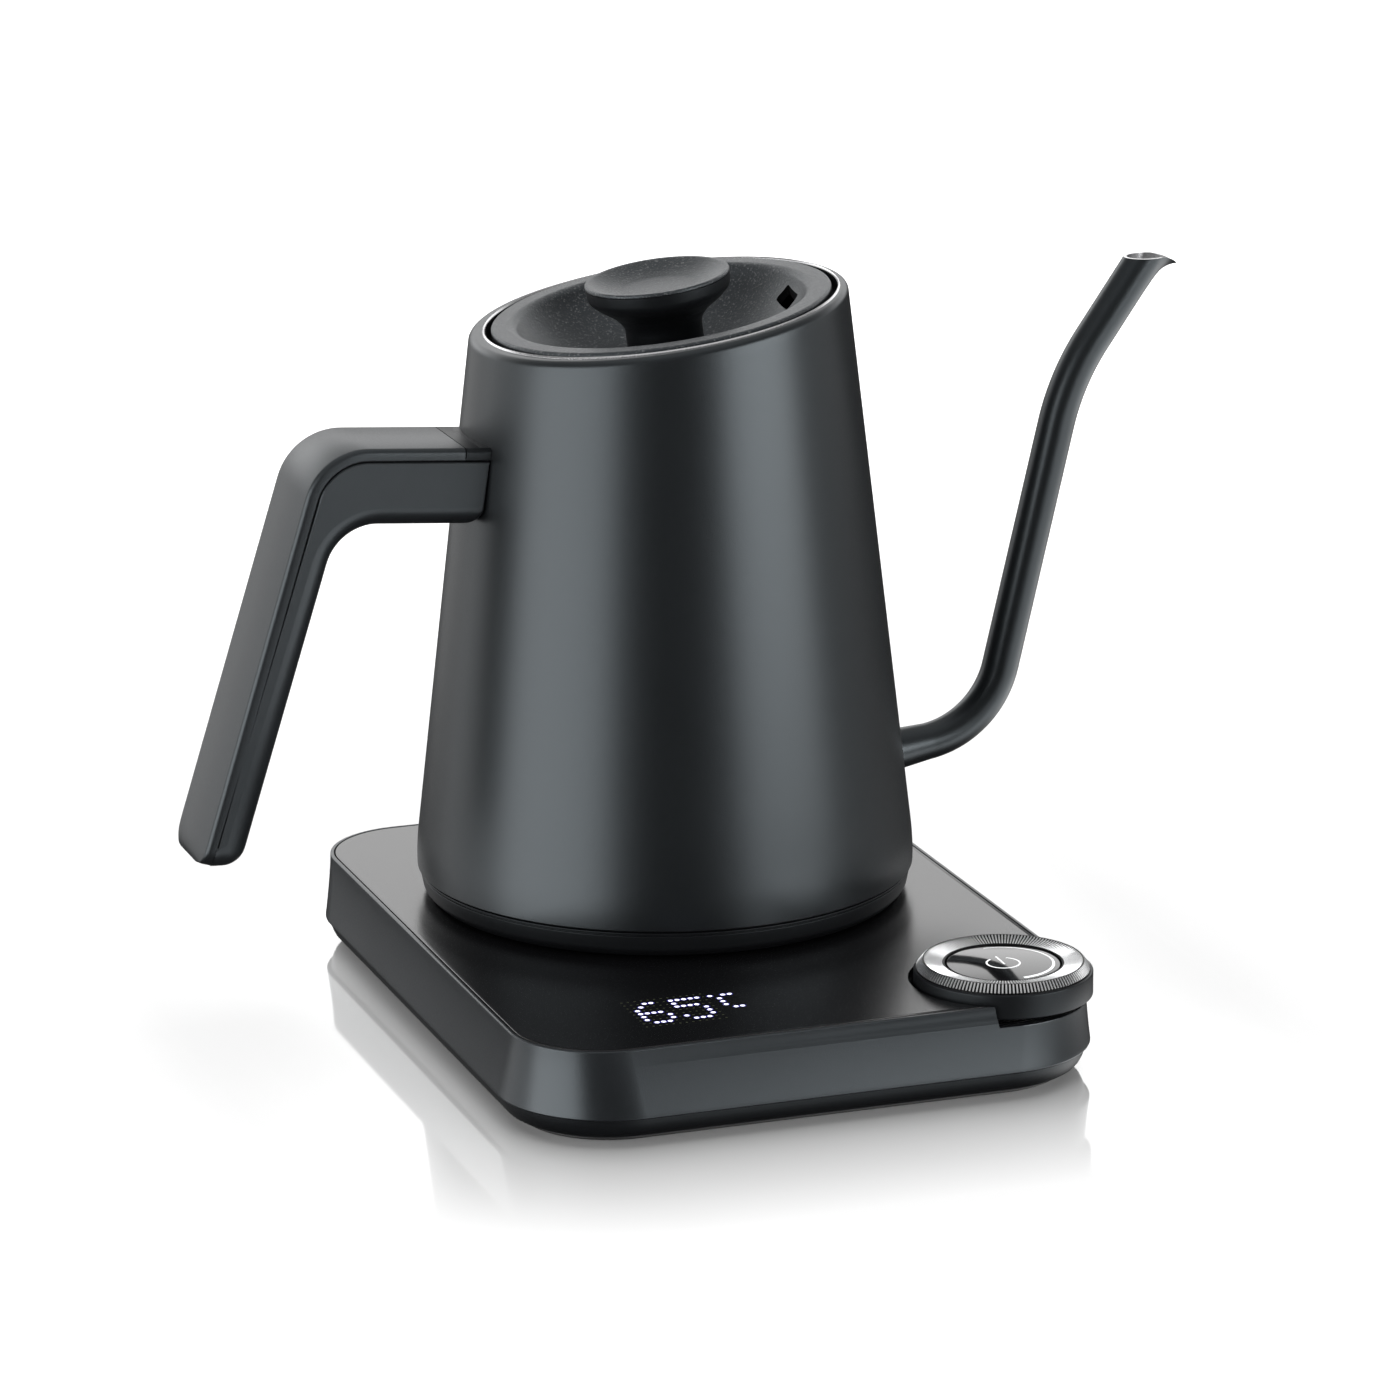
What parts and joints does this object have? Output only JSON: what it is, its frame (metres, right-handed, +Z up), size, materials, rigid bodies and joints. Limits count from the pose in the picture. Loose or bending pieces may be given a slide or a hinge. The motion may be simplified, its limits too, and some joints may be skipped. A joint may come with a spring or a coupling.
{
  "type": "electric gooseneck kettle",
  "caption": "Black conical gooseneck pour-over kettle with slanted lid and angled handle on a rectangular power base with a corner dial and dot display.",
  "frame": {"origin": "centre of the power base, on the surface that its rubber foot strip stands on", "axes": "+X across the base towards the spout, +Y to the back of the base, +Z up"},
  "size_m": [0.2718, 0.2078, 0.1897],
  "materials": {
    "satin_black_coat": "satin matt powder coat",
    "band_coat": "satin dark grey coat",
    "deck_black": "fine satin grain",
    "black_plastic": "satin moulded",
    "grained_charcoal": "fine grain moulded",
    "handle_plastic": "soft-touch satin",
    "dial_metal": "turned and ribbed",
    "button_glass": "polished black with white print",
    "black_rubber": "matt",
    "seal_silicone": "translucent grey silicone",
    "bare_steel": "brushed",
    "spreader_aluminium": "plain",
    "contact_brass": "plain",
    "board_green": "solder mask",
    "component_blue": "moulded",
    "display_white": "LED matrix block",
    "bearing_white": "low-friction moulded",
    "ceramic_cream": "glazed body"
  },
  "bodies": {
    "base": {"deck_plate": "deck_black", "base_band": "band_coat", "bottom_tray": "black_plastic", "foot_strip": "black_rubber", "base_screws": "bare_steel", "cable_gland": "black_rubber", "base_connector": "black_plastic", "base_contacts": "contact_brass", "power_board": "board_green", "power_relay": "component_blue", "display_board": "board_green", "display_matrix": "display_white", "encoder_board": "board_green", "button_switch": "black_plastic", "dial_bearing": "bearing_white"},
    "dial": {"dial_ring": "dial_metal", "dial_skirt": "black_plastic", "magnet_ring": "bare_steel"},
    "button": {"power_button": "button_glass", "button_carrier": "black_plastic"},
    "socket": {"kettle_socket": "black_plastic", "socket_contacts": "contact_brass"},
    "kettle": {"kettle_body": "satin_black_coat", "kettle_floor": "bare_steel", "floor_posts": "bare_steel", "heat_spreader": "spreader_aluminium", "heating_element": "spreader_aluminium", "temperature_sensor": "bare_steel", "dry_boil_cutout": "ceramic_cream", "foot_ring": "black_plastic", "bottom_cover": "black_plastic", "bottom_screws": "bare_steel", "spout_tube": "satin_black_coat", "handle_bracket": "black_plastic", "handle_grip": "handle_plastic", "handle_cover": "handle_plastic", "handle_screws": "bare_steel"},
    "lid": {"lid_dish": "grained_charcoal", "lid_inner_cup": "bare_steel", "lid_seal": "seal_silicone", "lid_knob": "black_plastic", "knob_cap": "grained_charcoal", "lid_screw": "bare_steel"}
  },
  "joints": [
    {"name": "kettle_lift", "type": "slide", "parent": "base", "child": "socket", "axis": [0, 0, 1], "range_m": [0, 0.06]},
    {"name": "kettle_swivel", "type": "hinge", "parent": "socket", "child": "kettle", "pos_m": [0, 0.0235, 0.03], "axis": [0, 0, 1], "continuous": true},
    {"name": "lid_lift", "type": "slide", "parent": "kettle", "child": "lid", "axis": [-0.1349, 0, 0.9909], "range_m": [0, 0.08]},
    {"name": "dial_turn", "type": "hinge", "parent": "base", "child": "dial", "pos_m": [0.0537, -0.0788, 0.024], "axis": [0, 0, 1], "continuous": true},
    {"name": "button_press", "type": "slide", "parent": "base", "child": "button", "axis": [0, 0, 1], "range_m": [-0.0008, 0], "stiffness_N_per_m": 1500, "springref_m": 0.001}
  ]
}
